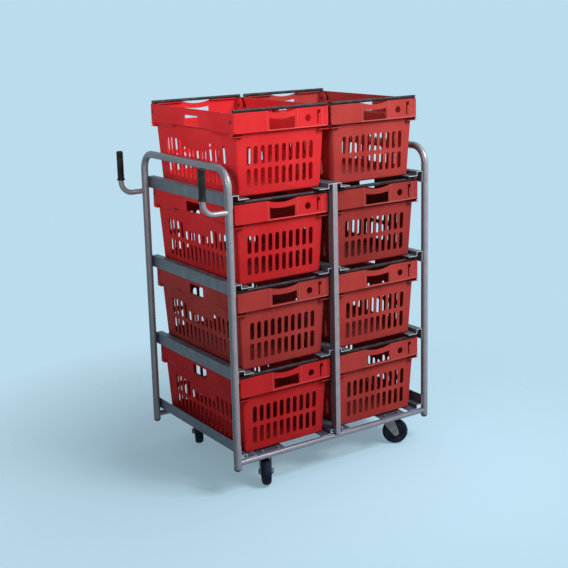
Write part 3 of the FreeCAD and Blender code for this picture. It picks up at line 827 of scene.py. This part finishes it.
def dark_moulding(name, base, dusty, rough_span, grain):
    """Black plastic or rubber with dusty patches and a grain."""
    shader = Shader(name)
    dust = shader.patches(scale=30.0, detail=5.0, span=(0.42, 0.75))
    colour = shader.mix(dust, base, dusty)
    roughness = shader.patches(scale=55.0, detail=4.0, span=(0.3, 0.7), result=rough_span)
    normal = shader.bump(shader.noise(scale=grain, detail=3.0), distance=0.0002, strength=0.6)
    return shader.finish(colour, roughness, normal, specular=0.15)


def make_materials():
    """One material for each finish of the record, and a darker steel for the runners and cross plates."""
    kinds = ((coated_steel, STEELS), (dark_moulding, MOULDINGS), (crate_plastic, CRATE_PLASTICS))
    return {name: make(name, *values) for make, table in kinds for name, values in table.items()}


def dress_packed_nodes(materials):
    """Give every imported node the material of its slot, and soften the edges of arms, forks and wheels."""
    for entry in frame["record"]["subparts"]:
        obj = nodes[entry["node"]]
        folded = entry["node"].endswith(("_runners", "_mount_plates"))
        finish = "runner_steel" if folded else entry["material_slot"]
        obj.data.materials.clear()
        obj.data.materials.append(materials[finish])
        for start, width in SOFTENED_NODES.items():
            if entry["node"].startswith(start):
                soften(obj, width, NODE_EDGE_SEGMENTS, NODE_CREASE_DEGREES)


# Stage, light and camera

# Pale backdrop and floor, by colour, share let through, and radii where the floor fades in metres
BACKDROP = (0.497, 0.716, 0.847)
FLOOR_SHADE = 1.12
FLOOR_CLEAR = 0.38
FLOOR_BOUNCE = (0.16, 0.17, 0.18)
FLOOR_ROUGHNESS = 0.9
FLOOR_FADE_START = 0.65
FLOOR_FADE_END = 1.6
FLOOR_STEPS = 96
ROOM_LIGHT = (0.94, 0.96, 1.0)
ROOM_STRENGTH = 0.3

# Square lamps: place, target, size, power and beam in degrees
LAMPS = {
    "key": ((1.0, -2.2, 2.9), (0, 0, 0.8), 1.3, 90, 180),
    "fill": ((-2.1, -0.9, 1.8), (-0.35, 0, 1.32), 0.8, 1.5, 38),
    "top": ((0.9, -0.3, 4.0), (0, 0, 0), 2.0, 24, 180),
}

# Camera: width of the picture, focal length and row of the optical axis in pixels, sensor in millimetres
PHOTO_SIZE = 568
FOCAL_PIXELS = 1081.6
CENTRE_ROW = 240.0
SENSOR = 36.0
CAMERA_PLACE = (-2.2817, -3.3909, 1.6923)
CAMERA_TURN_DEGREES = (78.006, 1.403, -34.122)


def seen_directly(tree):
    """One where the camera looks, straight or through a reflection or glass, and otherwise zero."""
    path = tree.nodes.new("ShaderNodeLightPath")
    total = path.outputs["Is Camera Ray"]
    for name in ("Is Glossy Ray", "Is Transmission Ray"):
        larger = tree.nodes.new("ShaderNodeMath")
        larger.operation = "MAXIMUM"
        tree.links.new(total, larger.inputs[0])
        tree.links.new(path.outputs[name], larger.inputs[1])
        total = larger.outputs[0]
    return total


def mix_shaders(tree, factor, first, second, output):
    """Two shaders mixed by a factor, as the output of a node tree."""
    blend = tree.nodes.new("ShaderNodeMixShader")
    for source, socket in zip((factor, first, second), blend.inputs):
        tree.links.new(source, socket)
    tree.links.new(blend.outputs[0], tree.nodes[output].inputs["Surface"])


def make_floor():
    """A pale floor that lets the backdrop through, fades into it and throws little light back."""
    bm = bmesh.new()
    bmesh.ops.create_circle(bm, cap_ends=True, segments=FLOOR_STEPS, radius=FLOOR_FADE_END)
    floor = mesh_object("floor", bm)
    shader = Shader("floor")
    colour = shader.mix(seen_directly(shader.tree), FLOOR_BOUNCE, toned(BACKDROP, gain=FLOOR_SHADE))
    shader.link(colour, shader.main.inputs["Base Color"])
    shader.main.inputs["Roughness"].default_value = FLOOR_ROUGHNESS
    shader.main.inputs["Specular IOR Level"].default_value = 0.0
    distance = shader.node("ShaderNodeVectorMath", operation="LENGTH")
    shader.link(shader.place, distance.inputs[0])
    span = (FLOOR_FADE_START, FLOOR_FADE_END)
    fade = shader.ramp(distance.outputs["Value"], span, result=(FLOOR_CLEAR, 1.0))
    clear = shader.node("ShaderNodeBsdfTransparent")
    mix_shaders(shader.tree, fade, shader.main.outputs[0], clear.outputs[0], "Material Output")
    floor.data.materials.append(shader.material)


def make_world():
    """Soft even light, with the plain backdrop where the camera looks."""
    world = bpy.data.worlds.new("studio")
    scene.world = world
    world.use_nodes = True
    tree = world.node_tree
    light = tree.nodes["Background"]
    light.inputs["Color"].default_value = (*ROOM_LIGHT, 1.0)
    light.inputs["Strength"].default_value = ROOM_STRENGTH
    seen = tree.nodes.new("ShaderNodeBackground")
    seen.inputs["Color"].default_value = (*BACKDROP, 1.0)
    seen.inputs["Strength"].default_value = 1.0
    mix_shaders(tree, seen_directly(tree), light.outputs[0], seen.outputs[0], "World Output")


def make_lights():
    """A broad key from the picking side and right, a narrow fill from the handles and a soft top light."""
    for name, (place, target, size, power, beam) in LAMPS.items():
        lamp = bpy.data.lights.new(name, "AREA")
        lamp.size = size
        lamp.energy = power
        lamp.spread = math.radians(beam)
        obj = bpy.data.objects.new(name, lamp)
        obj.visible_camera = False
        obj.location = place
        obj.rotation_euler = (Vector(target) - Vector(place)).to_track_quat("-Z", "Y").to_euler()
        scene.collection.objects.link(obj)


def make_camera():
    """The camera of the photo, worked out from the crates and uprights."""
    data = bpy.data.cameras.new("camera")
    data.sensor_width = SENSOR
    data.lens = FOCAL_PIXELS / PHOTO_SIZE * SENSOR
    data.shift_y = (CENTRE_ROW - PHOTO_SIZE / 2) / PHOTO_SIZE
    camera = bpy.data.objects.new("camera", data)
    camera.location = CAMERA_PLACE
    camera.rotation_euler = [math.radians(turn) for turn in CAMERA_TURN_DEGREES]
    scene.collection.objects.link(camera)
    scene.camera = camera


scene.view_settings.view_transform = "Standard"
finishes = make_materials()
dress_packed_nodes(finishes)
place_crates(finishes)
place_grips(finishes["grip_rubber"])
place_tyres(finishes["tyre"])
place_bolts(finishes["castor_zinc"])
make_floor()
make_world()
make_lights()
make_camera()
